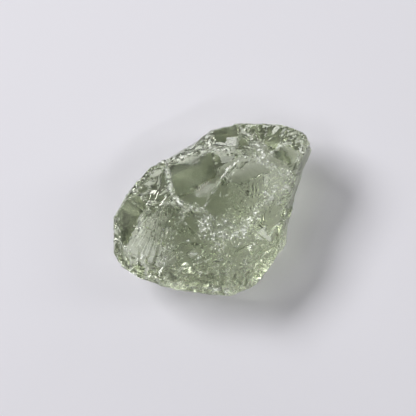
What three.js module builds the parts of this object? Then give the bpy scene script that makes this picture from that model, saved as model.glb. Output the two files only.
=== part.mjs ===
// Rough prasiolite, a pale green quartz: one broken shard, lying on the small flat face of its underside.
// Every side of it is a fracture, a shallow bowl or dome where a piece broke away, and sharp ridges stand where
// two fractures meet. Millimetres and degrees, +X along the shard, +Y across it and +Z up.
// The origin is on the resting face, under the middle of the shard.
import * as THREE from "three";

// The shard's size, which sets how the surface grid is spread over it.
const LENGTH = 32;
const WIDTH = 27.6;
const THICKNESS = 14;

// A point well inside the stone, in sight of every fracture.
const HEART = new THREE.Vector3(-0.2, -0.1, 7);

// Cells along one edge of the cube that is wrapped round the stone.
const CELLS = 26;

// A point closer to a ridge than this share of a cell is moved onto it.
const RIDGE_PULL = 0.5;
const PULLS = 3;
const PROBE = 1e-4;

const FLAT = Infinity;

// One fracture: a point on it, the compass angle that it faces, its tilt above the horizon, and the radii of its
// curve across and down the slope. A hollow's radius is positive, a dome's is negative.
function fracture(name, x, y, z, faces, tilt, across = FLAT, down = FLAT) {
  const turn = THREE.MathUtils.degToRad(faces);
  const rise = THREE.MathUtils.degToRad(tilt);
  const normal = new THREE.Vector3(
    Math.cos(turn) * Math.cos(rise),
    Math.sin(turn) * Math.cos(rise),
    Math.sin(rise),
  );
  const level = new THREE.Vector3(-Math.sin(turn), Math.cos(turn), 0);
  const slope = new THREE.Vector3().crossVectors(level, normal);
  const toHeart = HEART.clone().sub(new THREE.Vector3(x, y, z));
  return { name, normal, level, slope, toHeart, across: 1 / across, down: 1 / down };
}

const TOP_FRACTURES = [
  fracture("great bowl", -2.6, 4.9, 11.7, 108, 80, 24, 12),
  fracture("east bowl", 5.4, 1.3, 11.9, 74, 82, 22, 11),
  fracture("north slope", 2.2, 11.4, 10.6, 112, 54, 12, 14),
  fracture("north-east slope", 7, 11.6, 10.9, 84, 57, 14, -40),
  fracture("corner slope", 12.8, 11.6, 10.9, 66, 60, 14),
  fracture("corner step", 10.7, 7.4, 12.45, 58, 74, 9, 12),
  fracture("north-west slope", -3.9, 9.5, 10.9, 122, 62, 12, 14),
  fracture("north-west chip", -0.8, 11.1, 10.5, 128, 52, 8, 8),
  fracture("west face", -13, -2, 9.35, 190, 68, 30, 35),
  fracture("west shoulder", -8.2, 2.3, 11.4, 160, 70, 12, 16),
  fracture("south-west bowl", -9.4, -4.4, 10.2, 199, 74, 30, 28),
  fracture("west chip", -14.1, -6.7, 8.9, 196, 56, 10),
  fracture("heel bowl", -3.8, -2.8, 11.8, 250, 71, 12, 13),
  fracture("long groove", -6.1, -6.6, 10.6, 303, 56, 9, 2.2),
  fracture("south slope", -2.6, -8.9, 10.5, 276, 70, 16, 14),
  fracture("south spall", 2.7, -7.6, 11.3, 290, 68, 10, 12),
  fracture("south-east bowl", 8, -8.6, 10.1, 304, 60, 12, 12),
  fracture("east face", 9.6, -1.6, 11.1, 341, 72, 10.5, 11.6),
  fracture("crushed hollow", 2.2, -3.1, 12.35, 282, 70, 7, 7),
];

const RIM_FRACTURES = [
  fracture("west rim", -16, -3.6, 7.5, 180, 5, -60),
  fracture("west-north rim", -14.8, 0.7, 7.5, 150, 8),
  fracture("north-west rim", -11, 5.1, 7.5, 134, -6, 40),
  fracture("long north rim", -4.2, 10, 7.5, 121, 5, 60),
  fracture("north rim", 1.7, 13.1, 7.5, 105, 0),
  fracture("domed north rim", 6.8, 13.7, 7.5, 90, -5, -40),
  fracture("corner rim", 12.6, 13.1, 7.5, 72, 0, -20),
  fracture("tip", 15.6, 10.8, 8, 18, 8),
  fracture("tip shoulder", 15.2, 11.9, 7.8, 44, 4),
  fracture("east rim", 12.9, 1.4, 8, -15.5, 12, 60),
  fracture("south-east rim", 9, -9.7, 7, -38, 5, -40),
  fracture("south-east corner", 5.4, -13, 7, -66, 4, -30),
  fracture("south rim", -1.2, -13.6, 7, 264, 5, -80),
  fracture("south-west rim", -9.7, -11.7, 7.3, 249, 0, -30),
  fracture("west-south rim", -15.1, -8.3, 7.3, 214, 0, -18),
];

const UNDER_FRACTURES = [
  fracture("resting face", -0.7, -0.6, 0, 0, -90),
  fracture("east keel", 13, 0, 6.4, 350, -40, 60, 60),
  fracture("east hollow", 5, 0.3, 1.4, 8, -60, 40, 30),
  fracture("north-east keel", 12.5, 11.2, 7.2, 50, -54, 60, 60),
  fracture("north-east hollow", 3.5, 3.9, 0.4, 56, -56, 40, 30),
  fracture("north keel", 4, 13.2, 7.2, 98, -52, 60, 60),
  fracture("north-west keel", -6.2, 8.9, 7.6, 125, -51, 60, 60),
  fracture("west keel", -15.5, -1.5, 6.8, 172, -53, 60, 60),
  fracture("west hollow", -6.5, -2.2, 1.15, 211, -58, 40, 26),
  fracture("south-west keel", -14.5, -8.4, 6.4, 222, -48, 60, 60),
  fracture("south keel", -3, -13.4, 6.7, 262, -50, 60, 60),
  fracture("south hollow", -3, -4.5, 1, 240, -62, 40, 24),
  fracture("south-east keel", 7.5, -11.2, 6.7, 305, -48, 60, 60),
  fracture("south-east hollow", 2.4, -4.3, 1.1, 304, -60, 40, 24),
];

const FRACTURES = [...TOP_FRACTURES, ...RIM_FRACTURES, ...UNDER_FRACTURES];

// How far it is from the heart to one fracture in a direction, or Infinity where the ray never meets it.
// On the fracture, height along the normal = across * a^2 / 2 + down * b^2 / 2, with a and b measured across and
// down the slope, so the ray's distance is the nearer root of a quadratic.
function reach(piece, direction) {
  const { normal, level, slope, toHeart, across, down } = piece;
  const [a0, b0] = [toHeart.dot(level), toHeart.dot(slope)];
  const [a1, b1] = [direction.dot(level), direction.dot(slope)];
  const square = -(across * a1 * a1 + down * b1 * b1) / 2;
  const linear = direction.dot(normal) - across * a0 * a1 - down * b0 * b1;
  const constant = toHeart.dot(normal) - (across * a0 * a0 + down * b0 * b0) / 2;
  const inside = linear * linear - 4 * square * constant;
  const divisor = linear + Math.sqrt(Math.max(inside, 0));
  return inside >= 0 && divisor > 1e-9 ? (-2 * constant) / divisor : Infinity;
}

// The direction from the heart that belongs to a point of the unit sphere. Stretching the sphere to the shard's
// proportions keeps the cells of the grid alike in size on its broad and narrow sides.
function directionOf(point) {
  return new THREE.Vector3(LENGTH * point.x, WIDTH * point.y, THICKNESS * point.z).normalize();
}

// The two fractures that a direction meets first, nearest first, and how far apart they are along it.
function nearestTwo(direction) {
  let [first, second] = [null, null];
  for (const piece of FRACTURES) {
    const found = { piece, distance: reach(piece, direction) };
    if (!first || found.distance < first.distance) [first, second] = [found, first];
    else if (!second || found.distance < second.distance) second = found;
  }
  return { first, second, gap: second.distance - first.distance };
}

// Moves a point of the unit sphere onto the ridge between its two nearest fractures, where that is close by.
function pulledToRidge(point) {
  const { first, second, gap } = nearestTwo(directionOf(point));
  const east = new THREE.Vector3(-point.y, point.x, 0);
  if (east.lengthSq() < 1e-6) east.set(1, 0, 0);
  east.normalize();
  const north = new THREE.Vector3().crossVectors(point, east);
  const slopeAlong = (way) => {
    const probe = directionOf(point.clone().addScaledVector(way, PROBE).normalize());
    return (reach(second.piece, probe) - reach(first.piece, probe) - gap) / PROBE;
  };
  const [toEast, toNorth] = [slopeAlong(east), slopeAlong(north)];
  const steepness = toEast * toEast + toNorth * toNorth;
  const step = gap / Math.sqrt(steepness);
  if (!(step < (RIDGE_PULL * Math.PI) / 2 / CELLS)) return point;
  return point
    .clone()
    .addScaledVector(east, (-gap * toEast) / steepness)
    .addScaledVector(north, (-gap * toNorth) / steepness)
    .normalize();
}

// A point of the stone's surface, found from a point of the unit sphere.
function surfacePoint(point) {
  let at = point;
  for (let i = 0; i < PULLS; i++) at = pulledToRidge(at);
  const direction = directionOf(at);
  return HEART.clone().addScaledVector(direction, nearestTwo(direction).first.distance);
}

// The stone as a cube's grid pushed out to its nearest fracture in every direction. Cells are split along the
// diagonal that stands further out, because the ridges are the high lines.
function stoneGeometry() {
  const points = [];
  const numbers = new Map();

  function numberOf(lattice) {
    const key = lattice.join(",");
    if (!numbers.has(key)) {
      const even = lattice.map((i) => Math.tan((Math.PI / 4) * ((2 * i) / CELLS - 1)));
      numbers.set(key, points.length);
      points.push(surfacePoint(new THREE.Vector3(...even).normalize()));
    }
    return numbers.get(key);
  }

  const triangles = [];
  function addCell(corners) {
    const [a, b, c, d] = corners.map(numberOf);
    const middle = (i, j) => points[i].clone().add(points[j]).divideScalar(2).distanceTo(HEART);
    if (middle(a, c) > middle(b, d)) triangles.push(a, b, c, a, c, d);
    else triangles.push(a, b, d, b, c, d);
  }

  for (let axis = 0; axis < 3; axis++) {
    const [u, v] = [(axis + 1) % 3, (axis + 2) % 3];
    for (const side of [0, CELLS]) {
      const corner = (i, j) => {
        const lattice = [0, 0, 0];
        lattice[axis] = side;
        lattice[u] = i;
        lattice[v] = j;
        return lattice;
      };
      for (let i = 0; i < CELLS; i++) {
        for (let j = 0; j < CELLS; j++) {
          const ring = [corner(i, j), corner(i + 1, j), corner(i + 1, j + 1), corner(i, j + 1)];
          addCell(side ? ring : ring.reverse());
        }
      }
    }
  }

  const geometry = new THREE.BufferGeometry();
  geometry.setAttribute(
    "position",
    new THREE.Float32BufferAttribute(points.flatMap((p) => p.toArray()), 3),
  );
  geometry.setIndex(triangles);
  geometry.computeVertexNormals();
  return geometry;
}

function prasioliteMaterial() {
  return new THREE.MeshStandardMaterial({
    color: 0x9db392,
    roughness: 0.08,
    metalness: 0,
    transparent: true,
    opacity: 0.6,
    flatShading: true,
  });
}

const stone = new THREE.Mesh(stoneGeometry(), prasioliteMaterial());
stone.name = "prasiolite";

const shard = new THREE.Group();
shard.add(stone);

export default shard;
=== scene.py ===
"""Rough prasiolite, a pale green quartz: one broken shard, lying on the small flat face of its underside.

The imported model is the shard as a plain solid. Here the same fractures are worked out on a finer grid, with
the ripples, ledges and chips that a step closer shows, and the stone gets its clear green glassy finish.
Lengths in the tables are millimetres and angles are degrees, with +X along the shard, +Y across it and +Z up.
"""

import math
from collections import namedtuple

import bpy
import numpy as np
from bpy.props import FloatProperty, FloatVectorProperty, IntProperty, PointerProperty
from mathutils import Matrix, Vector


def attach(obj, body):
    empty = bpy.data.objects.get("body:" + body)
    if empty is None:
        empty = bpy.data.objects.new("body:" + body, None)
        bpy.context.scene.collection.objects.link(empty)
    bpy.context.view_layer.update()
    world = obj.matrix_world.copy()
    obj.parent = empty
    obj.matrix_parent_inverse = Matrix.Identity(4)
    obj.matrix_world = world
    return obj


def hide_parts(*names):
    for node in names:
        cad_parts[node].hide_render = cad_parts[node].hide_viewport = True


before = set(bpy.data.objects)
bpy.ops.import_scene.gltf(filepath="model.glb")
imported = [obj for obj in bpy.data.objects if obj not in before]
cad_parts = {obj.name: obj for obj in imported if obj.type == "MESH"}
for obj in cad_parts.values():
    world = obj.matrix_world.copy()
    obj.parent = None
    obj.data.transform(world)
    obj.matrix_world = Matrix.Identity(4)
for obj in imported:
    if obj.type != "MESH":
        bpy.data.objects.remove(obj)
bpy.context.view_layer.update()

bl_info = {
    "name": "Prasiolite shard",
    "version": (1, 0, 0),
    "blender": (4, 5, 0),
    "location": "3D View > Sidebar > Prasiolite",
    "description": "Makes a broken shard of pale green quartz, and the stage that it is shown on",
    "category": "Object",
}

MM = 0.001

# The shard's size, which sets how the surface grid is spread over it.
LENGTH = 32
WIDTH = 27.6
THICKNESS = 14

# Relief is worked out only this close above the nearest fracture. Where a direction runs nearly along a
# fracture, its share of the normal counts as at least LEAST_FACING.
RELIEF_MARGIN = 1.2
LEAST_FACING = 0.3

# Every fracture is a little uneven, by the height and the length of its slow and its fine waves.
FACE_UNEVENNESS = 0.03
RIM_UNEVENNESS = 0.06
SLOW_WAVE = 5.0
FINE_UNEVENNESS = 0.006
FINE_WAVE = 1.8

# A swell is a sum of this many waves, whose lengths are these shares of its size.
SWELL_WAVES = 9
WAVE_SPREAD = (0.7, 1.5)

# Where the seeds of the random waves start, and how many each fracture has for its own relief.
SLOW_SEED = 100
FINE_SEED = 200
RELIEF_SEED = 300
SEEDS_EACH = 10

# Ripples: how far a slow swell bends the rings.
RING_BEND = 0.6

# Ledges: the shares of a step that rise and that break off, the waves that bend its line, with lengths
# counted in steps, and the waves that its depth comes and goes with.
STEP_RISE = 0.8
STEP_BREAK = 0.2
BROAD_BEND_STEPS = 6
FINE_BEND_STEPS = 2.5
FINE_BEND = 0.35
DEPTH_STEPS = 5
MEAN_DEPTH = 0.55
DEPTH_CHANGE = 0.45

# Hackles: how many sines make the ribs, and within what bounds their count, twist and start differ.
RIB_WAVES = 4
RIB_COUNTS = (0.6, 1.6)
RIB_TWIST = 0.4
RIB_START = 6

# Broken blocks: how the cubes pick their tips, and the tips themselves, three leans and a step each.
BLOCK_STRIDES = np.array([73, 179, 283])
BLOCK_TIPS = np.random.default_rng(5).uniform(-1, 1, (997, 4))

# A place closer to a ridge than this share of a cell is moved onto it, and this is done RIDGE_PULLS times.
# The slope of the gap there is measured over a small probe.
RIDGE_PULL = 0.55
RIDGE_PULLS = 2
PROBE = 1e-3

# Places this far above or below the middle of the unit sphere are too near a pole to measure east from it.
NEAR_POLE = 0.9

# Grid corners are one where they agree to a millionth.
AGREEMENT = 1e6

# Divisors are kept above this.
TINY = 1e-9

# How many halvings find the height of the upper surface over a point of the plan.
HALVINGS = 24

# The seed of the flakes and of the single grains of grit.
SEED = 21

# Flakes: how far their normals turn at random, how narrow they may be, how far round each one is searched, in
# millimetres and at most in radians, how deep they may go as a share of the reach, how far they scatter round
# their band's line, and how close to a ridge a normal starts to lean over it.
FLAKE_TURN = 0.30
FLAKE_NARROWNESS = (0.35, 1.0)
FLAKE_SEARCH = 3.0
WIDEST_SEARCH = 1.2
LEAST_SHARE = 0.95
FLAKE_SCATTER = 0.6
LEAN_WIDTH = 1.5

# Flakes that wear the ridges: how many, how close to a ridge, and their least and most radius and depth.
RIDGE_FLAKES = 260
WORN_GAP = 0.15
WORN_RADIUS = (0.3, 1.4)
WORN_DEPTH = (0.02, 0.07)

# Crushing along every ridge: its strength, its width, and the patches that it comes and goes in.
RIDGE_CRUSH = 0.6
RIDGE_WIDTH = 0.10
PATCH_SIZE = 2.2
PATCH_SEED = 41
PATCH_MEAN = 0.6
PATCH_CHANGE = 0.5

# Crushing along the bands: a band of this many flakes is crushed through, and it fades from this far below
# its line.
FULL_CRUSH_FLAKES = 240
BAND_DEPTH = 0.5

# The grit of crushed stone, in shares of the grain: seed, height and size of its coarse and its fine blocks,
# and the height of its single grains.
GRIT_BLOCKS = [(61, 4.0, 0.8), (62, 3.0, 0.45)]
GRIT_GRAIN = 0.5

# Faces that are crushed more than this are left flat.
GRITTY = 0.3

# Nothing below this height is worn, so that the stone still rests flat.
RESTING_CLEARANCE = 0.25

# The underside grows dull over the millimetre below this height.
UNDERSIDE_TOP = 7.2

# Patterns of the finish, as counts per millimetre.
GRAINS_PER_MM = 2.6
SPECKS_PER_MM = 5.0
DRIFT_PER_MM = 0.8
FLOOR_GRAINS_PER_MM = 0.4
NOISE_DETAIL = 3.0

# Powder: which grains of the crushed stone are white, how sharply they start, how soon crushing shows them in
# full, and their shine.
WHITE_FROM = 0.54
WHITE_SHARPNESS = 12
POWDER_GAIN = 1.3
POWDER_METALLIC = 0.4
POWDER_ROUGHNESS = 0.3

# The bump: its height in millimetres, and the shares of it that each pattern takes.
BUMP_HEIGHT = 0.2
GRAINS_SHARE = 1.4
SPECKS_SHARE = 0.6
DRIFT_SHARE = 0.15
RIBS_SHARE = 0.12

# Fine ribs on the great bowl, as bump.
RIBS_CENTRE = (-1.8, 2.6, 11.3)
RIBS_RADIUS = 3.2
RIBS_SPACING = 0.36
RIBS_SLANT = 0.25
RIBS_BEND = 2

FLOOR_HEIGHT = -0.02 * MM
FLOOR_ROUGHNESS = 0.85
FLOOR_GRAIN = 0.1
SKY_COLOUR = (0.98, 0.95, 1.0, 1)

# Light crosses many surfaces inside the clear stone.
LIGHT_BOUNCES = 32

# What the camera looks down on.
VIEW_CENTRE = (-0.68, 0.25, 10)

# The lights: where each one stands, in metres, the sides of its rectangle, and the power that it takes and
# the share of it.
Light = namedtuple("Light", "name place sides power share", defaults=(1,))

LIGHTS = [
    Light("key_light", (-0.67, 0.42, 0.69), (0.54, 0.35), "key_power"),
    Light("fill_light", (0.75, 0.15, 0.52), (0.15, 0.45), "fill_power"),
    Light("back_light", (-0.15, 0.93, 0.10), (0.90, 0.20), "back_power"),
    Light("streak_light", (0.30, -0.46, 0.95), (0.60, 0.06), "streak_power"),
    Light("sheen_light", (-0.51, -0.11, 0.91), (0.32, 0.30), "sheen_power"),
    Light("side_light", (0.63, 0.69, 0.10), (0.60, 0.20), "back_power", 0.6),
]

# A point well inside the stone, in sight of every fracture.
HEART = np.array([-0.2, -0.1, 7.0])

FLAT = math.inf

# The reach given to a fracture that a direction never meets.
FAR = 1000.0

# One fracture: a point on it, the compass angle that it faces, its tilt above the horizon, and the radii of
# its curve across and down the slope. A hollow's radius is positive, a dome's is negative.
Fracture = namedtuple("Fracture", "name x y z faces tilt across down", defaults=(FLAT, FLAT))

FRACTURES = [
    # the upper side
    Fracture("great bowl", -2.6, 4.9, 11.7, 108, 80, 24, 12),
    Fracture("east bowl", 5.4, 1.3, 11.9, 74, 82, 22, 11),
    Fracture("north slope", 2.2, 11.4, 10.6, 112, 54, 12, 14),
    Fracture("north-east slope", 7, 11.6, 10.9, 84, 57, 14, -40),
    Fracture("corner slope", 12.8, 11.6, 10.9, 66, 60, 14),
    Fracture("corner step", 10.7, 7.4, 12.45, 58, 74, 9, 12),
    Fracture("north-west slope", -3.9, 9.5, 10.9, 122, 62, 12, 14),
    Fracture("north-west chip", -0.8, 11.1, 10.5, 128, 52, 8, 8),
    Fracture("west face", -13, -2, 9.35, 190, 68, 30, 35),
    Fracture("west shoulder", -8.2, 2.3, 11.4, 160, 70, 12, 16),
    Fracture("south-west bowl", -9.4, -4.4, 10.2, 199, 74, 30, 28),
    Fracture("west chip", -14.1, -6.7, 8.9, 196, 56, 10),
    Fracture("heel bowl", -3.8, -2.8, 11.8, 250, 71, 12, 13),
    Fracture("long groove", -6.1, -6.6, 10.6, 303, 56, 9, 2.2),
    Fracture("south slope", -2.6, -8.9, 10.5, 276, 70, 16, 14),
    Fracture("south spall", 2.7, -7.6, 11.3, 290, 68, 10, 12),
    Fracture("south-east bowl", 8, -8.6, 10.1, 304, 60, 12, 12),
    Fracture("east face", 9.6, -1.6, 11.1, 341, 72, 10.5, 11.6),
    Fracture("crushed hollow", 2.2, -3.1, 12.35, 282, 70, 7, 7),
    # the rim, which gives the outline
    Fracture("west rim", -16, -3.6, 7.5, 180, 5, -60),
    Fracture("west-north rim", -14.8, 0.7, 7.5, 150, 8),
    Fracture("north-west rim", -11, 5.1, 7.5, 134, -6, 40),
    Fracture("long north rim", -4.2, 10, 7.5, 121, 5, 60),
    Fracture("north rim", 1.7, 13.1, 7.5, 105, 0),
    Fracture("domed north rim", 6.8, 13.7, 7.5, 90, -5, -40),
    Fracture("corner rim", 12.6, 13.1, 7.5, 72, 0, -20),
    Fracture("tip", 15.6, 10.8, 8, 18, 8),
    Fracture("tip shoulder", 15.2, 11.9, 7.8, 44, 4),
    Fracture("east rim", 12.9, 1.4, 8, -15.5, 12, 60),
    Fracture("south-east rim", 9, -9.7, 7, -38, 5, -40),
    Fracture("south-east corner", 5.4, -13, 7, -66, 4, -30),
    Fracture("south rim", -1.2, -13.6, 7, 264, 5, -80),
    Fracture("south-west rim", -9.7, -11.7, 7.3, 249, 0, -30),
    Fracture("west-south rim", -15.1, -8.3, 7.3, 214, 0, -18),
    # the underside
    Fracture("resting face", -0.7, -0.6, 0, 0, -90),
    Fracture("east keel", 13, 0, 6.4, 350, -40, 60, 60),
    Fracture("east hollow", 5, 0.3, 1.4, 8, -60, 40, 30),
    Fracture("north-east keel", 12.5, 11.2, 7.2, 50, -54, 60, 60),
    Fracture("north-east hollow", 3.5, 3.9, 0.4, 56, -56, 40, 30),
    Fracture("north keel", 4, 13.2, 7.2, 98, -52, 60, 60),
    Fracture("north-west keel", -6.2, 8.9, 7.6, 125, -51, 60, 60),
    Fracture("west keel", -15.5, -1.5, 6.8, 172, -53, 60, 60),
    Fracture("west hollow", -6.5, -2.2, 1.15, 211, -58, 40, 26),
    Fracture("south-west keel", -14.5, -8.4, 6.4, 222, -48, 60, 60),
    Fracture("south keel", -3, -13.4, 6.7, 262, -50, 60, 60),
    Fracture("south hollow", -3, -4.5, 1, 240, -62, 40, 24),
    Fracture("south-east keel", 7.5, -11.2, 6.7, 305, -48, 60, 60),
    Fracture("south-east hollow", 2.4, -4.3, 1.1, 304, -60, 40, 24),
]


def unit(vectors):
    """Each vector over its own length."""
    return vectors / np.linalg.norm(vectors, axis=-1, keepdims=True)


def axes_of(fracture):
    """The three directions of a fracture: out of it, level across it and down its slope."""
    turn, rise = math.radians(fracture.faces), math.radians(fracture.tilt)
    normal = np.array([
        math.cos(turn) * math.cos(rise),
        math.sin(turn) * math.cos(rise),
        math.sin(rise),
    ])
    level = np.array([-math.sin(turn), math.cos(turn), 0.0])
    return normal, level, np.cross(level, normal)


def reach_of_patch(directions, point, axes, across, down):
    """How far from the heart each direction meets a curved patch, or FAR where it never does.

    On the patch, height along the normal = a^2 / (2 * across) + b^2 / (2 * down), with a and b measured
    across it and down it, so the distance is the nearer root of a quadratic.
    """
    normal, level, slope = axes
    to_heart = HEART - point
    a0, b0 = to_heart @ level, to_heart @ slope
    a1, b1 = directions @ level, directions @ slope
    square = -(a1**2 / across + b1**2 / down) / 2
    linear = directions @ normal - a0 * a1 / across - b0 * b1 / down
    constant = to_heart @ normal - (a0**2 / across + b0**2 / down) / 2
    inside = linear**2 - 4 * square * constant
    divisor = linear + np.sqrt(np.maximum(inside, 0))
    met = (inside >= 0) & (divisor > TINY)
    return np.where(met, -2 * constant / np.where(met, divisor, 1), FAR)


def reaches(directions):
    """The distance from the heart to every fracture, one row a fracture."""
    return np.stack([
        reach_of_patch(directions, np.array([f.x, f.y, f.z]), axes_of(f), f.across, f.down)
        for f in FRACTURES
    ])


def swell(points, size, seed):
    """Gentle unevenness of about unit height: a sum of sines in random directions, of wavelengths near
    size."""
    rng = np.random.default_rng(seed)
    waves = unit(rng.normal(size=(SWELL_WAVES, 3)))
    waves *= 2 * math.pi / (size * rng.uniform(*WAVE_SPREAD, (SWELL_WAVES, 1)))
    starts = rng.uniform(0, 2 * math.pi, SWELL_WAVES)
    return np.sin(points @ waves.T + starts).sum(1) * math.sqrt(2 / SWELL_WAVES)


def swells(points, seed, height, size):
    """Low humps and dips of one size."""
    return height * swell(points, size, seed)


def ripples(points, seed, centre, height, spacing, nearest, breadth):
    """Rings round the point where a blow fell: a sine of the distance, strongest at the distance nearest and
    fading with a bell curve of the given breadth. A slow swell bends the rings."""
    distance = np.linalg.norm(points - np.array(centre), axis=1)
    distance += RING_BEND * swell(points, SLOW_WAVE, seed)
    fade = np.exp(-(((distance - nearest) / breadth) ** 2))
    return height * np.sin(2 * math.pi * distance / spacing) * fade


def ledges(points, seed, faces, height, spacing, wander):
    """Broken steps: a sawtooth along the compass angle faces, cut into the surface, whose lines wander and
    whose depth comes and goes."""
    turn = math.radians(faces)
    along = (points[:, 0] * math.cos(turn) + points[:, 1] * math.sin(turn)) / spacing
    broad_bend = wander * swell(points, spacing * BROAD_BEND_STEPS, seed)
    along += broad_bend + FINE_BEND * swell(points, spacing * FINE_BEND_STEPS, seed + 1)
    part = along - np.floor(along)
    saw = np.where(part < STEP_RISE, part / STEP_RISE, (1 - part) / STEP_BREAK)
    depth = np.maximum(MEAN_DEPTH + DEPTH_CHANGE * swell(points, spacing * DEPTH_STEPS, seed + 2), 0)
    return -height * saw * depth


def hackles(points, seed, centre, height, count):
    """Fine ribs that fan out from a point: sines of the bearing round it, each twisted by the distance."""
    rng = np.random.default_rng(seed)
    away = points - np.array(centre)
    bearing = np.arctan2(away[:, 1], away[:, 0])
    distance = np.linalg.norm(away, axis=1)
    rib = np.zeros(len(points))
    for _ in range(RIB_WAVES):
        angle = bearing * count * rng.uniform(*RIB_COUNTS)
        twist = distance * rng.uniform(-RIB_TWIST, RIB_TWIST)
        rib += np.sin(angle + twist + rng.uniform(0, RIB_START))
    return height * rib / math.sqrt(RIB_WAVES)


def blocks(points, seed, height, size):
    """Broken corners: space is cut into leaning cubes of one size, and in each the surface tips its own
    way."""
    rng = np.random.default_rng(seed)
    lean = np.linalg.qr(rng.normal(size=(3, 3)))[0]
    place = points @ lean / size
    cube = np.floor(place)
    pick = (cube @ BLOCK_STRIDES % len(BLOCK_TIPS)).astype(int)
    tips = BLOCK_TIPS[pick]
    return height * (((place - cube - 0.5) * tips[:, :3]).sum(1) + 0.5 * tips[:, 3])


# What each fracture carries on top of its curve: a kind of relief and its settings.
RELIEF = {
    "great bowl": [
        (ripples, dict(centre=(-1.2, 14, 13), height=0.012, spacing=0.6, nearest=12.5, breadth=2.4)),
        (swells, dict(height=0.02, size=3.2)),
    ],
    "east bowl": [
        (ripples, dict(centre=(4.7, 1.0, 11.9), height=0.050, spacing=0.75, nearest=1.8, breadth=2.0)),
        (ripples, dict(centre=(14, -6, 12), height=0.028, spacing=1.3, nearest=11, breadth=4)),
    ],
    "north slope": [(ripples, dict(centre=(4.4, 14.1, 10), height=0.02, spacing=1.3, nearest=3, breadth=4))],
    "north-east slope": [
        (hackles, dict(centre=(8, 9.3, 12), height=0.02, count=22)),
        (swells, dict(height=0.02, size=2.4)),
    ],
    "corner slope": [
        (ledges, dict(faces=60, height=0.04, spacing=0.9, wander=0.3)),
        (hackles, dict(centre=(11.6, 7.7, 12), height=0.02, count=24)),
    ],
    "corner step": [
        (ripples, dict(centre=(7.5, 7.4, 12.5), height=0.03, spacing=0.9, nearest=2.4, breadth=2)),
        (ledges, dict(faces=120, height=0.06, spacing=0.9, wander=0.4)),
    ],
    "west shoulder": [(ledges, dict(faces=156, height=0.09, spacing=0.7, wander=0.35))],
    "south-west bowl": [
        (ripples, dict(centre=(-9.1, -0.9, 11), height=0.020, spacing=0.8, nearest=1.5, breadth=2.6)),
        (hackles, dict(centre=(-7.4, 2.4, 11), height=0.03, count=40)),
        (swells, dict(height=0.03, size=3.0)),
    ],
    "west chip": [(ledges, dict(faces=190, height=0.12, spacing=0.9, wander=0.3))],
    "heel bowl": [
        (ripples, dict(centre=(-3, -2.2, 11.9), height=0.030, spacing=0.7, nearest=1.6, breadth=1.9)),
    ],
    "long groove": [(hackles, dict(centre=(4.5, -0.3, 12), height=0.02, count=44))],
    "south slope": [
        (ledges, dict(faces=122, height=0.16, spacing=1.3, wander=0.3)),
        (blocks, dict(height=0.24, size=1.9)),
    ],
    "south spall": [
        (ledges, dict(faces=118, height=0.18, spacing=0.9, wander=0.35)),
        (blocks, dict(height=0.24, size=1.6)),
    ],
    "south-east bowl": [
        (ledges, dict(faces=118, height=0.18, spacing=0.8, wander=0.25)),
        (blocks, dict(height=0.14, size=1.4)),
        (hackles, dict(centre=(2, -3.1, 12), height=0.03, count=26)),
    ],
    "crushed hollow": [(blocks, dict(height=0.16, size=1.1))],
    "east face": [(ripples, dict(centre=(4.4, -1.1, 14), height=0.012, spacing=1.4, nearest=8, breadth=4))],
    "east keel": [(ledges, dict(faces=350, height=0.10, spacing=1.3, wander=0.3))],
    "east hollow": [
        (ripples, dict(centre=(13, 3, 6), height=0.05, spacing=1.3, nearest=7, breadth=5)),
        (hackles, dict(centre=(14, 1.3, 7), height=0.03, count=20)),
    ],
    "north-east keel": [(swells, dict(height=0.03, size=5))],
    "north-east hollow": [
        (ripples, dict(centre=(14, 10.9, 7), height=0.05, spacing=1.4, nearest=8, breadth=6)),
    ],
    "north keel": [(swells, dict(height=0.03, size=5))],
    "west keel": [(swells, dict(height=0.02, size=5))],
    "west hollow": [
        (ledges, dict(faces=200, height=0.12, spacing=1.4, wander=0.4)),
        (blocks, dict(height=0.30, size=1.3)),
    ],
    "south-west keel": [(ledges, dict(faces=230, height=0.12, spacing=1.1, wander=0.3))],
    "south keel": [(ledges, dict(faces=262, height=0.20, spacing=1.0, wander=0.3))],
    "south hollow": [
        (ledges, dict(faces=300, height=0.18, spacing=1.3, wander=0.4)),
        (ripples, dict(centre=(-2, -13, 7), height=0.04, spacing=1.2, nearest=7, breadth=5)),
    ],
    "south-east keel": [(ledges, dict(faces=320, height=0.20, spacing=1.0, wander=0.3))],
    "south-east hollow": [
        (ledges, dict(faces=20, height=0.16, spacing=1.5, wander=0.4)),
        (ripples, dict(centre=(10.8, -8.3, 7), height=0.04, spacing=1.2, nearest=7, breadth=5)),
    ],
}

# Where the stone is crushed along its ridges: the line of each band seen from above, its half width, the
# number of flakes knocked out of it, and the least and most radius and depth of a flake.
Band = namedtuple("Band", "line half_width flakes radius depth")

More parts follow.
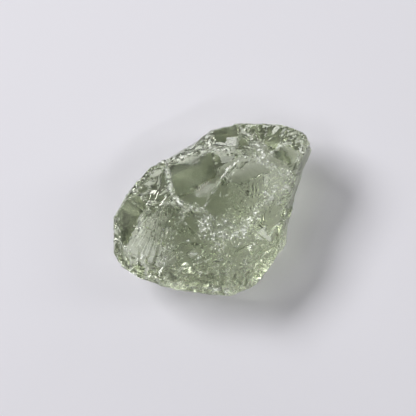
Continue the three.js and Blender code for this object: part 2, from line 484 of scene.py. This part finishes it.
BANDS = [
    Band([(-8.0, 7.8), (-7.2, 6.0), (-6.7, 3.1), (-5.7, 1.4), (-4.3, 0.5), (-2.6, 0.2), (-1.4, -1.3)],
         0.35, 220, (0.12, 0.5), (0.02, 0.06)),
    Band([(-1.2, -1.9), (-0.6, -4.0), (1.0, -4.6), (1.5, -2.2), (3.1, -3.5), (4.9, -3.5), (5.5, -2.4)],
         1.05, 700, (0.2, 0.9), (0.02, 0.14)),
    Band([(5.7, -2.3), (7.7, 0.1), (9.1, 2.3)], 0.55, 240, (0.2, 0.9), (0.02, 0.12)),
    Band([(9.1, 2.3), (12.2, 3.7)], 0.8, 240, (0.2, 0.9), (0.02, 0.12)),
    Band([(12.2, 3.7), (13.4, 6.0), (13.8, 8.2), (14.5, 11.1)], 0.3, 140, (0.12, 0.7), (0.02, 0.08)),
    Band([(-8.0, 7.8), (-5.4, 8.0), (-3.8, 8.7), (-2.2, 9.0), (-0.9, 9.4)],
         0.35, 160, (0.12, 0.5), (0.02, 0.06)),
    Band([(-0.9, 9.4), (1.5, 9.5), (3.9, 9.6), (5.0, 8.3), (8.3, 7.9)], 0.25, 160, (0.12, 0.5), (0.02, 0.06)),
    Band([(8.3, 7.9), (9.5, 6.8), (11.0, 5.9), (12.9, 5.1)], 0.4, 150, (0.12, 0.6), (0.02, 0.1)),
    Band([(8.3, 7.9), (10.9, 10.3), (14.5, 11.1)], 0.25, 90, (0.12, 0.6), (0.02, 0.08)),
    Band([(-1.2, 11.6), (-0.6, 10.5), (-0.1, 9.8)], 0.5, 120, (0.15, 0.7), (0.02, 0.1)),
    Band([(5.7, 11.9), (6.8, 10.5), (7.9, 9.0), (8.3, 7.9)], 0.35, 160, (0.12, 0.6), (0.02, 0.08)),
    Band([(-4.6, 0.3), (-5.7, -2.2), (-6.5, -4.0), (-7.4, -6.7), (-8.2, -9.1)],
         0.15, 50, (0.2, 0.8), (0.02, 0.06)),
    Band([(1.2, -5.6), (1.5, -8.0), (3.9, -8.3), (6.8, -7.5)], 0.5, 60, (0.3, 1.4), (0.02, 0.12)),
    Band([(10.8, -5.9), (11.2, -3.5), (11.7, -0.9), (12.4, 1.8)], 0.3, 100, (0.2, 0.9), (0.02, 0.08)),
    Band([(-15.2, -1.4), (-15.1, -4.6), (-14.8, -7.0), (-13.0, -9.4)], 0.2, 45, (0.3, 1.2), (0.02, 0.1)),
    Band([(-13.4, 1.9), (-11.4, 3.9), (-9.1, 6.6), (-8.0, 7.8)], 0.2, 60, (0.3, 1.2), (0.02, 0.1)),
    Band([(-4.1, 9.5), (-2.0, 11.1), (0.1, 12.0)], 0.3, 90, (0.3, 1.2), (0.02, 0.1)),
    Band([(-9.7, -11.0), (-5.8, -12.1), (-1.2, -12.8), (3.2, -12.9)], 0.3, 110, (0.3, 1.4), (0.02, 0.12)),
]

# Long thin flakes that catch the light: where each lies seen from above, the compass angle of its length, its
# radius along and across it, and its depth.
Sliver = namedtuple("Sliver", "x y lies along across depth")

SLIVERS = [
    Sliver(4.6, 6.8, 52, 7.0, 0.55, 0.30),
    Sliver(3.0, 9.0, 18, 6.0, 0.50, 0.22),
    Sliver(10.4, 6.6, 50, 4.0, 0.40, 0.22),
    Sliver(12.1, 6.9, 48, 4.0, 0.40, 0.20),
    Sliver(-4.5, -7.5, 33, 9.0, 0.90, 0.25),
    Sliver(-3.2, -8.7, 30, 8.0, 0.80, 0.25),
    Sliver(-1.2, -9.5, 28, 8.0, 0.70, 0.25),
    Sliver(4.4, -6.7, 30, 7.0, 0.60, 0.25),
    Sliver(6.8, -8.6, 32, 7.0, 0.60, 0.28),
    Sliver(5.4, -10.2, 26, 7.0, 0.60, 0.28),
    Sliver(3.2, -11.8, 20, 7.0, 0.60, 0.28),
    Sliver(8.0, -7.0, 35, 6.0, 0.50, 0.25),
    Sliver(2.0, -10.7, 30, 6.0, 0.50, 0.25),
    Sliver(0.0, -11.6, 15, 6.0, 0.60, 0.25),
    Sliver(8.9, -5.7, 40, 6.0, 0.50, 0.20),
    Sliver(10.2, 0.7, 35, 7.0, 0.60, 0.25),
    Sliver(11.0, -0.3, 33, 7.0, 0.60, 0.25),
    Sliver(11.8, 0.9, 38, 6.0, 0.50, 0.20),
    Sliver(-8.7, 2.9, 68, 8.0, 0.70, 0.20),
    Sliver(-10.0, 2.0, 62, 8.0, 0.70, 0.20),
    Sliver(-7.9, 1.3, 70, 8.0, 0.60, 0.18),
    Sliver(-14.6, -7.0, 88, 5.0, 0.60, 0.25),
    Sliver(-12.0, -6.7, 84, 6.0, 0.50, 0.20),
    Sliver(12.4, 11.7, 35, 6.0, 0.60, 0.25),
    Sliver(10.8, 10.6, 28, 6.0, 0.60, 0.25),
    Sliver(13.4, 10.5, 38, 5.0, 0.50, 0.20),
    Sliver(6.4, 7.7, 12, 6.0, 0.60, 0.18),
    Sliver(14.0, 12.1, 20, 5.0, 0.50, 0.20),
]


def relieved_reaches(directions, amount):
    """The reach of every fracture with its relief on it. Height out of a fracture is measured along its
    normal, so along a direction it is that height over the direction's share of the normal."""
    found = reaches(directions)
    nearest = found.min(0)
    for row, fracture in enumerate(FRACTURES):
        near = found[row] < nearest + RELIEF_MARGIN
        if fracture.name == "resting face" or not near.any():
            continue
        normal = axes_of(fracture)[0]
        points = HEART + directions[near] * found[row][near][:, None]
        unevenness = RIM_UNEVENNESS if "rim" in fracture.name else FACE_UNEVENNESS
        height = unevenness * swell(points, SLOW_WAVE, SLOW_SEED + row)
        height += FINE_UNEVENNESS * swell(points, FINE_WAVE, FINE_SEED + row)
        for number, (kind, settings) in enumerate(RELIEF.get(fracture.name, [])):
            height += kind(points, RELIEF_SEED + SEEDS_EACH * row + number, **settings)
        found[row][near] += amount * height / np.maximum(directions[near] @ normal, LEAST_FACING)
    return found


def directions_of(places):
    """The directions from the heart that belong to places on the unit sphere, stretched to the shard's
    proportions so that the cells of the grid are alike in size on its broad and narrow sides."""
    return unit(places * np.array([LENGTH, WIDTH, THICKNESS]))


def cube_grid(cells):
    """Places on the unit sphere in six square grids, one for each side of a cube, and the four corners of
    each cell, counterclockwise seen from outside. The tangent evens out the cells; corners that meet are made
    one."""
    tangent = np.tan(np.linspace(-math.pi / 4, math.pi / 4, cells + 1))
    u, v = (axis.ravel() for axis in np.meshgrid(tangent, tangent, indexing="ij"))
    w = np.ones_like(u)
    sides = [(w, u, v), (-w, v, u), (v, w, u), (u, -w, v), (u, v, w), (v, u, -w)]
    places = np.concatenate([np.stack(side, axis=-1) for side in sides])
    row, column = (index.ravel() for index in np.meshgrid(range(cells), range(cells), indexing="ij"))
    first = row * (cells + 1) + column
    cell = np.stack([first, first + cells + 1, first + cells + 2, first + 1], axis=-1)
    cells_of_all = np.concatenate([cell + side * (cells + 1) ** 2 for side in range(6)])
    rounded = np.round(places * AGREEMENT).astype(int)
    _, kept, number = np.unique(rounded, axis=0, return_index=True, return_inverse=True)
    return unit(places[kept]), number.reshape(-1)[cells_of_all]


def pulled_to_ridges(places, cells, amount):
    """Moves each place that is close to a ridge onto it, by one step down the slope of the gap between the
    reaches of its two nearest fractures, as long as the gap over that slope."""
    found = relieved_reaches(directions_of(places), amount)
    nearest = np.argsort(found, axis=0)[:2]

    def gap_at(reach):
        first, second = np.take_along_axis(reach, nearest, axis=0)
        return second - first

    gap = gap_at(found)
    pole = np.where(np.abs(places[:, 2:]) < NEAR_POLE, [[0.0, 0.0, 1.0]], [[1.0, 0.0, 0.0]])
    east = unit(np.cross(places, pole))
    north = np.cross(places, east)
    slopes = [
        (gap_at(relieved_reaches(directions_of(places + PROBE * way), amount)) - gap) / PROBE
        for way in (east, north)
    ]
    slope_squared = np.maximum(slopes[0] ** 2 + slopes[1] ** 2, TINY)
    close = gap / np.sqrt(slope_squared) < RIDGE_PULL * math.pi / 2 / cells
    step = np.where(close, -gap / slope_squared, 0)
    return unit(places + (step * slopes[0])[:, None] * east + (step * slopes[1])[:, None] * north)


def top_of(plan):
    """The points of the upper surface that lie above points of the plan, by halving the height."""
    low, high = np.full(len(plan), HEART[2]), np.full(len(plan), HEART[2] + THICKNESS)
    for _ in range(HALVINGS):
        middle = (low + high) / 2
        away = np.column_stack([plan, middle]) - HEART
        inside = np.linalg.norm(away, axis=1) < reaches(unit(away)).min(0)
        low, high = np.where(inside, middle, low), np.where(inside, high, middle)
    return np.column_stack([plan, low])


def normals_at(points):
    """The normal of the nearest fracture at each point, leaning to the next one's where that is close."""
    found = reaches(unit(points - HEART))
    nearest = np.argsort(found, axis=0)[:2]
    normals = np.array([axes_of(f)[0] for f in FRACTURES])
    first, second = np.take_along_axis(found, nearest, axis=0)
    lean = np.clip(1 - (second - first) / LEAN_WIDTH, 0, 1)[:, None]
    return unit(normals[nearest[0]] + lean * normals[nearest[1]])


def flakes_at(points, radius, depth, rng):
    """A small hollow at each point, turned a little off the surface: its point, axes and two radii."""
    count = len(points)
    normals = unit(normals_at(points) + rng.normal(0, FLAKE_TURN, (count, 3)))
    across = unit(np.cross(normals, rng.normal(size=(count, 3))))
    wide = rng.uniform(*radius, count)
    narrow = wide * rng.uniform(*FLAKE_NARROWNESS, count)
    deep = points - normals * rng.uniform(*depth, count)[:, None]
    return list(zip(deep, zip(normals, across, np.cross(normals, across)), wide, narrow))


def flakes_of_band(band, rng):
    """Flakes spread evenly along a band's line and with a bell curve across it."""
    corners = np.array(band.line)
    sides = np.diff(corners, axis=0)
    lengths = np.linalg.norm(sides, axis=1)
    ends = np.cumsum(lengths)
    along = rng.uniform(0, ends[-1], band.flakes)
    side = np.searchsorted(ends, along)
    share = (along - (ends - lengths)[side]) / lengths[side]
    plan = corners[side] + sides[side] * share[:, None]
    plan += rng.normal(0, FLAKE_SCATTER * band.half_width, plan.shape)
    return flakes_at(top_of(plan), band.radius, band.depth, rng)


def flakes_of_slivers():
    """The long thin flakes, each laid along its compass angle."""
    table = np.array(SLIVERS)
    points = top_of(table[:, :2])
    normals = normals_at(points)
    turn = np.radians(table[:, 2])
    along = np.stack([np.cos(turn), np.sin(turn), np.zeros_like(turn)], axis=-1)
    along = unit(along - normals * (along * normals).sum(1, keepdims=True))
    deep = points - normals * table[:, 5:]
    return list(zip(deep, zip(normals, along, np.cross(normals, along)), table[:, 3], table[:, 4]))


def cut_flakes(directions, distances, flakes):
    """The distances cut back where a flake lies nearer than the surface, each tried only around itself."""
    cut = distances.copy()
    for point, axes, across, down in flakes:
        away = point - HEART
        length = np.linalg.norm(away)
        widest = math.cos(min(WIDEST_SEARCH, FLAKE_SEARCH / length))
        around = np.flatnonzero(directions @ (away / length) > widest)
        reach = reach_of_patch(directions[around], point, axes, across, down)
        nearer = (reach < cut[around]) & (reach > LEAST_SHARE * cut[around])
        cut[around[nearer]] = reach[nearer]
    return cut


def crush_at(points, gaps):
    """How crushed the stone is at each point, from 0 to 1: bell curves round the lines of the bands, which
    lie on the upper surface, and a thin patchy line along every ridge, where the gap between the two nearest
    fractures closes. Below a band's line, as on the rim, depth past BAND_DEPTH counts as distance from it."""
    patches = np.clip(PATCH_MEAN + PATCH_CHANGE * swell(points, PATCH_SIZE, PATCH_SEED), 0, 1)
    crush = RIDGE_CRUSH * np.exp(-((gaps / RIDGE_WIDTH) ** 2)) * patches
    upper = points[:, 2] > HEART[2]
    for band in BANDS:
        corners = top_of(np.array(band.line))
        nearest = np.full(len(points), np.inf)
        for start, end in zip(corners[:-1], corners[1:]):
            side = end - start
            share = np.clip((points[:, :2] - start[:2]) @ side[:2] / (side[:2] @ side[:2]), 0, 1)
            off = points - start - share[:, None] * side
            below = np.maximum(-off[:, 2] - BAND_DEPTH, 0)
            nearest = np.minimum(nearest, np.hypot(np.hypot(off[:, 0], off[:, 1]), below))
        strength = min(1, band.flakes / FULL_CRUSH_FLAKES)
        crush = np.maximum(crush, upper * strength * np.exp(-((nearest / band.half_width) ** 2)))
    return crush


def prasiolite_surface(cells, relief, grain):
    """The stone: in each direction from the heart, the point of the nearest relieved fracture or flake.

    Each place of the cube grid is pulled to a nearby ridge, pushed out to the surface and, where the stone is
    crushed, moved in or out by blocks of grit and single grains. Each cell becomes two triangles that share
    the diagonal that stands further out, because the ridges are the high lines. Returns the points in
    millimetres, the triangles and how crushed each point is.
    """
    rng = np.random.default_rng(SEED)
    places, corners = cube_grid(cells)
    for _ in range(RIDGE_PULLS):
        places = pulled_to_ridges(places, cells, relief)
    directions = directions_of(places)
    found = np.sort(relieved_reaches(directions, relief), axis=0)[:2]
    distances, gaps = found[0], found[1] - found[0]

    ridge_points = (HEART + directions * distances[:, None])[gaps < WORN_GAP]
    worn = ridge_points[rng.choice(len(ridge_points), RIDGE_FLAKES, replace=False)]
    flakes = flakes_at(worn[worn[:, 2] > RESTING_CLEARANCE], WORN_RADIUS, WORN_DEPTH, rng)
    for band in BANDS:
        flakes += flakes_of_band(band, rng)
    flakes += flakes_of_slivers()
    distances = cut_flakes(directions, distances, flakes)

    points = HEART + directions * distances[:, None]
    crush = crush_at(points, gaps) * (points[:, 2] > RESTING_CLEARANCE)
    grit = sum(blocks(points, *settings) for settings in GRIT_BLOCKS)
    grit += rng.uniform(-GRIT_GRAIN, GRIT_GRAIN, len(points))
    distances += grain * crush * grit
    points = HEART + directions * distances[:, None]

    a, b, c, d = corners.T
    one_way = np.linalg.norm(points[a] + points[c] - 2 * HEART, axis=1)
    other_way = np.linalg.norm(points[b] + points[d] - 2 * HEART, axis=1)
    along_ac = (one_way > other_way)[:, None]
    firsts = np.where(along_ac, corners[:, [0, 1, 2]], corners[:, [0, 1, 3]])
    seconds = np.where(along_ac, corners[:, [0, 2, 3]], corners[:, [1, 2, 3]])
    return points, np.concatenate([firsts, seconds]), crush


def mesh_object(name, points, faces):
    """A mesh object at the origin, in metres."""
    mesh = bpy.data.meshes.new(name)
    mesh.from_pydata(points.tolist(), [], faces.tolist())
    mesh.update()
    piece = bpy.data.objects.new(name, mesh)
    bpy.context.scene.collection.objects.link(piece)
    return piece


class Signal:
    """One output of a shader node. Maths on it reads as Python, and each operation adds a Math node."""

    def __init__(self, shader, socket):
        self.shader = shader
        self.socket = socket

    def maths(self, operation, *values):
        return self.shader.node("ShaderNodeMath", {"operation": operation}, dict(enumerate(values))).out(0)

    def __add__(self, other):
        return self.maths("ADD", self, other)

    def __sub__(self, other):
        return self.maths("SUBTRACT", self, other)

    def __rsub__(self, other):
        return self.maths("SUBTRACT", other, self)

    def __mul__(self, other):
        return self.maths("MULTIPLY", self, other)

    def __truediv__(self, other):
        return self.maths("DIVIDE", self, other)

    def __rtruediv__(self, other):
        return self.maths("DIVIDE", other, self)

    __radd__ = __add__
    __rmul__ = __mul__

    def sine(self):
        return self.maths("SINE", self)

    def clamped(self):
        return self.maths("MINIMUM", self.maths("MAXIMUM", self, 0), 1)


class Node:
    """A shader node, whose outputs are taken as signals."""

    def __init__(self, shader, node):
        self.shader = shader
        self.node = node

    def out(self, name):
        return Signal(self.shader, self.node.outputs[name])


class Shader:
    """The node tree of one material."""

    def __init__(self, name):
        self.material = bpy.data.materials.new(name)
        self.material.use_nodes = True
        self.tree = self.material.node_tree
        self.tree.nodes.clear()

    def node(self, kind, settings=None, inputs=None):
        """Adds a node: its settings are set first, then each input takes a value or a link from a signal."""
        node = self.tree.nodes.new(kind)
        for setting, value in (settings or {}).items():
            setattr(node, setting, value)
        for name, value in (inputs or {}).items():
            if isinstance(value, Signal):
                self.tree.links.new(value.socket, node.inputs[name])
            else:
                node.inputs[name].default_value = value
        return Node(self, node)

    def place_in_millimetres(self):
        """Object coordinates, so that the scale of a pattern is its count per millimetre."""
        place = self.node("ShaderNodeTexCoord").out("Object")
        return self.node("ShaderNodeVectorMath", {"operation": "SCALE"}, {0: place, "Scale": 1 / MM}).out(0)

    def noise(self, place, per_mm):
        """A cloudy pattern with so many clouds per millimetre."""
        settings = {"Vector": place, "Scale": per_mm, "Detail": NOISE_DETAIL}
        return self.node("ShaderNodeTexNoise", inputs=settings).out("Fac")


def prasiolite_material(finish):
    """Clear pale green quartz: glass that takes up light on its way through, smooth on its fractures, a
    little dull underneath, and frosted and powdery where it is crushed, with the finest ripples and ribs as
    bump."""
    shader = Shader("prasiolite")
    place = shader.place_in_millimetres()
    crush = shader.node("ShaderNodeAttribute", {"attribute_name": "crush"}).out("Fac")
    grains = shader.node("ShaderNodeTexVoronoi", inputs={"Vector": place, "Scale": GRAINS_PER_MM})
    white = ((grains.out("Color") - WHITE_FROM) * WHITE_SHARPNESS).clamped()
    specks = shader.noise(place, SPECKS_PER_MM)
    drift = shader.noise(place, DRIFT_PER_MM)
    axes = shader.node("ShaderNodeSeparateXYZ", inputs={0: place})

    ribs_place = shader.node(
        "ShaderNodeVectorMath", {"operation": "DISTANCE"}, {0: place, 1: RIBS_CENTRE}).out("Value")
    ribs_mask = (1 - ribs_place / RIBS_RADIUS).clamped()
    across_ribs = axes.out("X") + RIBS_SLANT * axes.out("Y")
    ribs = (across_ribs * (2 * math.pi / RIBS_SPACING) + drift * RIBS_BEND).sine()

    crushed_height = crush * (grains.out("Distance") * GRAINS_SHARE + specks * SPECKS_SHARE)
    normal = shader.node("ShaderNodeBump", inputs={
        "Height": crushed_height + drift * DRIFT_SHARE + ribs * ribs_mask * RIBS_SHARE,
        "Distance": BUMP_HEIGHT * MM,
        "Strength": 1.0,
    }).out("Normal")
    underside = (UNDERSIDE_TOP - axes.out("Z")).clamped()
    glass = shader.node("ShaderNodeBsdfPrincipled", inputs={
        "Base Color": (*finish.surface_colour, 1),
        "Roughness": crush * finish.frosting + underside * finish.haze + finish.polish,
        "IOR": finish.ior,
        "Transmission Weight": 1.0,
        "Normal": normal,
    }).out("BSDF")
    powder = shader.node("ShaderNodeBsdfPrincipled", inputs={
        "Base Color": (*finish.powder_colour, 1),
        "Metallic": POWDER_METALLIC,
        "Roughness": POWDER_ROUGHNESS,
        "Normal": normal,
    }).out("BSDF")
    dusting = (crush * POWDER_GAIN).clamped() * white * finish.powder
    surface = shader.node("ShaderNodeMixShader", inputs={0: dusting, 1: glass, 2: powder}).out(0)
    body = shader.node("ShaderNodeVolumeAbsorption", inputs={
        "Color": (*finish.body_colour, 1),
        "Density": finish.body_depth,
    }).out("Volume")
    shader.node("ShaderNodeOutputMaterial", inputs={"Surface": surface, "Volume": body})
    return shader.material


def floor_material(colour):
    """Plain matt card with a faint grain."""
    shader = Shader("pale_floor")
    pattern = {"Vector": shader.place_in_millimetres(), "Scale": FLOOR_GRAINS_PER_MM}
    grain = shader.node("ShaderNodeTexNoise", inputs=pattern).out("Fac")
    surface = shader.node("ShaderNodeBsdfPrincipled", inputs={
        "Base Color": (*colour, 1),
        "Roughness": grain * FLOOR_GRAIN + FLOOR_ROUGHNESS,
    }).out("BSDF")
    shader.node("ShaderNodeOutputMaterial", inputs={"Surface": surface})
    return shader.material


def add_light(light, power):
    """A soft rectangular light that looks at the shard."""
    lamp = bpy.data.lights.new(light.name, "AREA")
    lamp.shape = "RECTANGLE"
    lamp.size, lamp.size_y = light.sides
    lamp.energy = power
    stand = bpy.data.objects.new(light.name, lamp)
    bpy.context.scene.collection.objects.link(stand)
    stand.location = light.place
    stand.rotation_euler = (-Vector(light.place)).to_track_quat("-Z", "Y").to_euler()


class PrasioliteShape(bpy.types.PropertyGroup):
    """How finely the stone is made."""

    cells: IntProperty(
        name="Cells", description="Cells along one edge of the grid", default=120, min=12, max=128)
    relief: FloatProperty(
        name="Relief", description="Share of the ripples and ledges", subtype="FACTOR",
        default=1, min=0, max=1)
    grain: FloatProperty(
        name="Grain", description="Roughness of the crushed stone in millimetres",
        default=0.06, min=0, max=0.1)
    sharp_angle: FloatProperty(
        name="Sharp angle", description="Least bend that shows as an edge", subtype="ANGLE",
        default=math.radians(14))


class PrasioliteFinish(bpy.types.PropertyGroup):
    """The stone's colours and polish."""

    surface_colour: FloatVectorProperty(
        name="Surface tint", description="Tint that light takes on at the surface", subtype="COLOR",
        default=(0.95, 0.99, 0.84), min=0, max=1)
    body_colour: FloatVectorProperty(
        name="Body colour", description="Light that the stone lets through", subtype="COLOR",
        default=(0.612, 0.643, 0.540), min=0, max=1)
    body_depth: FloatProperty(
        name="Depth of colour", description="Absorption per metre", default=70, min=0, max=1000)
    powder_colour: FloatVectorProperty(
        name="Powder colour", description="Crushed stone along the ridges", subtype="COLOR",
        default=(0.93, 0.95, 0.89), min=0, max=1)
    powder: FloatProperty(
        name="Powder", description="Share of powder where the stone is crushed", subtype="FACTOR",
        default=0.8, min=0, max=1)
    ior: FloatProperty(
        name="Refraction", description="Refractive index of quartz", default=1.544, min=1, max=2)
    polish: FloatProperty(
        name="Polish", description="Roughness of a clean fracture", subtype="FACTOR",
        default=0.012, min=0, max=1)
    haze: FloatProperty(
        name="Haze", description="Roughness added on the underside", subtype="FACTOR",
        default=0.16, min=0, max=1)
    frosting: FloatProperty(
        name="Frosting", description="Roughness added by crushing", subtype="FACTOR",
        default=0.10, min=0, max=1)


class PrasioliteStage(bpy.types.PropertyGroup):
    """The floor, the light and the camera."""

    floor_colour: FloatVectorProperty(
        name="Floor colour", description="The pale card under the stone", subtype="COLOR",
        default=(0.80, 0.79, 0.84), min=0, max=1)
    floor_size: FloatProperty(
        name="Floor size", description="Side of the floor", subtype="DISTANCE", unit="LENGTH", default=2.0)
    key_power: FloatProperty(
        name="Key light", description="Window light", unit="POWER", default=9.6, min=0)
    fill_power: FloatProperty(
        name="Fill light", description="Light from the right", unit="POWER", default=1.2, min=0)
    back_power: FloatProperty(
        name="Back light", description="Low light from behind and beside", unit="POWER", default=4.2, min=0)
    streak_power: FloatProperty(
        name="Streak light", description="Narrow light from above on the right", unit="POWER",
        default=0.9, min=0)
    sheen_power: FloatProperty(
        name="Sheen light", description="Soft light from above on the left", unit="POWER",
        default=1.3, min=0)
    sky_strength: FloatProperty(name="Sky", description="Strength of the sky", default=0.04, min=0)
    camera_height: FloatProperty(
        name="Camera height", description="Height of the camera above the view's centre", subtype="DISTANCE",
        unit="LENGTH", default=0.26)
    view_width: FloatProperty(
        name="View width", description="Width that the picture takes in", subtype="DISTANCE", unit="LENGTH",
        default=0.06656)


class PRASIOLITE_OT_stone(bpy.types.Operator):
    """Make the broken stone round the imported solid"""

    bl_idname = "prasiolite.stone"
    bl_label = "Prasiolite"

    def execute(self, context):
        shape = context.scene.prasiolite_shape
        points, triangles, crush = prasiolite_surface(shape.cells, shape.relief, shape.grain)
        stone = mesh_object("prasiolite_stone", points * MM, triangles)
        mesh = stone.data
        mesh.set_sharp_from_angle(angle=shape.sharp_angle)
        mesh.polygons.foreach_set("use_smooth", crush[triangles].mean(1) < GRITTY)
        attribute = mesh.attributes.new("crush", "FLOAT", "POINT")
        attribute.data.foreach_set("value", crush.astype(np.float32))
        mesh.materials.append(prasiolite_material(context.scene.prasiolite_finish))
        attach(stone, "root")
        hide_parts("prasiolite")
        return {"FINISHED"}


class PRASIOLITE_OT_stage(bpy.types.Operator):
    """Lay the floor, hang the lights and set the camera over the stone"""

    bl_idname = "prasiolite.stage"
    bl_label = "Stage"

    def execute(self, context):
        stage = context.scene.prasiolite_stage
        half = stage.floor_size / 2
        corners = np.array([(-half, -half, 0), (half, -half, 0), (half, half, 0), (-half, half, 0)], float)
        floor = mesh_object("floor", corners + [0, 0, FLOOR_HEIGHT], np.array([[0, 1, 2, 3]]))
        floor.data.materials.append(floor_material(stage.floor_colour))

        for light in LIGHTS:
            add_light(light, getattr(stage, light.power) * light.share)

        world = bpy.data.worlds.new("soft_sky")
        world.use_nodes = True
        sky = world.node_tree.nodes["Background"]
        sky.inputs["Color"].default_value = SKY_COLOUR
        sky.inputs["Strength"].default_value = stage.sky_strength
        context.scene.world = world
        context.scene.view_settings.view_transform = "Standard"
        context.scene.cycles.max_bounces = LIGHT_BOUNCES
        context.scene.cycles.transmission_bounces = LIGHT_BOUNCES
        context.scene.cycles.glossy_bounces = LIGHT_BOUNCES // 2

        lens = bpy.data.cameras.new("camera")
        lens.lens = lens.sensor_width * stage.camera_height / stage.view_width
        camera = bpy.data.objects.new("camera", lens)
        x, y, z = (MM * side for side in VIEW_CENTRE)
        camera.location = (x, y, z + stage.camera_height)
        context.scene.collection.objects.link(camera)
        context.scene.camera = camera
        return {"FINISHED"}


class PRASIOLITE_PT_panel(bpy.types.Panel):
    """The shard's settings and the buttons that make it"""

    bl_label = "Prasiolite shard"
    bl_idname = "PRASIOLITE_PT_panel"
    bl_space_type = "VIEW_3D"
    bl_region_type = "UI"
    bl_category = "Prasiolite"

    def draw(self, context):
        groups = (
            (context.scene.prasiolite_shape, None),
            (context.scene.prasiolite_finish, PRASIOLITE_OT_stone),
            (context.scene.prasiolite_stage, PRASIOLITE_OT_stage),
        )
        for settings, button in groups:
            for name in type(settings).__annotations__:
                self.layout.prop(settings, name)
            if button:
                self.layout.operator(button.bl_idname)


CLASSES = (
    PrasioliteShape,
    PrasioliteFinish,
    PrasioliteStage,
    PRASIOLITE_OT_stone,
    PRASIOLITE_OT_stage,
    PRASIOLITE_PT_panel,
)


def register():
    for cls in CLASSES:
        bpy.utils.register_class(cls)
    bpy.types.Scene.prasiolite_shape = PointerProperty(type=PrasioliteShape)
    bpy.types.Scene.prasiolite_finish = PointerProperty(type=PrasioliteFinish)
    bpy.types.Scene.prasiolite_stage = PointerProperty(type=PrasioliteStage)


def unregister():
    del bpy.types.Scene.prasiolite_stage
    del bpy.types.Scene.prasiolite_finish
    del bpy.types.Scene.prasiolite_shape
    for cls in reversed(CLASSES):
        bpy.utils.unregister_class(cls)


def main():
    register()
    bpy.ops.prasiolite.stone()
    bpy.ops.prasiolite.stage()


if __name__ == "__main__":
    main()
